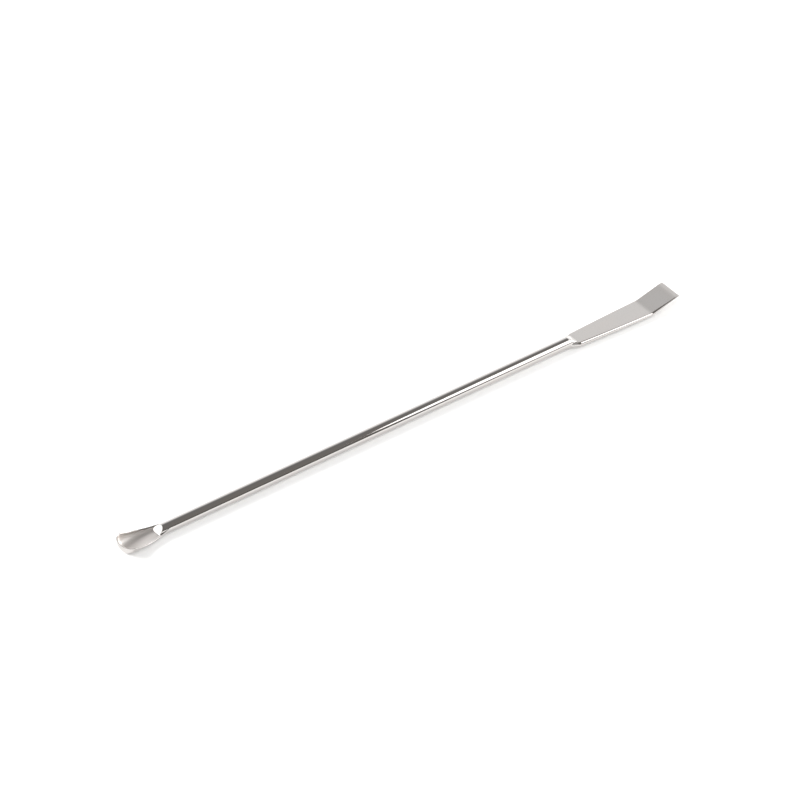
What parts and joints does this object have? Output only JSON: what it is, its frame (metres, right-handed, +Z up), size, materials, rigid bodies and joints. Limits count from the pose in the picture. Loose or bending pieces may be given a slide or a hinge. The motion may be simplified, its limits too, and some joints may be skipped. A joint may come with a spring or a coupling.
{
  "type": "lab spatula",
  "caption": "Double-ended stainless steel micro spatula for a lab bench: a slim round rod with a small spoon at one end and a flat blade with a turned-up tip at the other.",
  "frame": {"origin": "midway along the spatula, at the level of the surface that it lies on, under the rod's axis", "axes": "+X along the rod from the spoon to the blade, +Y across the blade, +Z up, the way the spoon opens and the blade's tip turns"},
  "size_m": [0.2, 0.0082, 0.0043],
  "materials": {
    "polished_steel": "mirror-polished stainless steel rod and spoon, blade faces slightly satin"
  },
  "bodies": {
    "root": {"spatula": "polished_steel"}
  },
  "joints": []
}
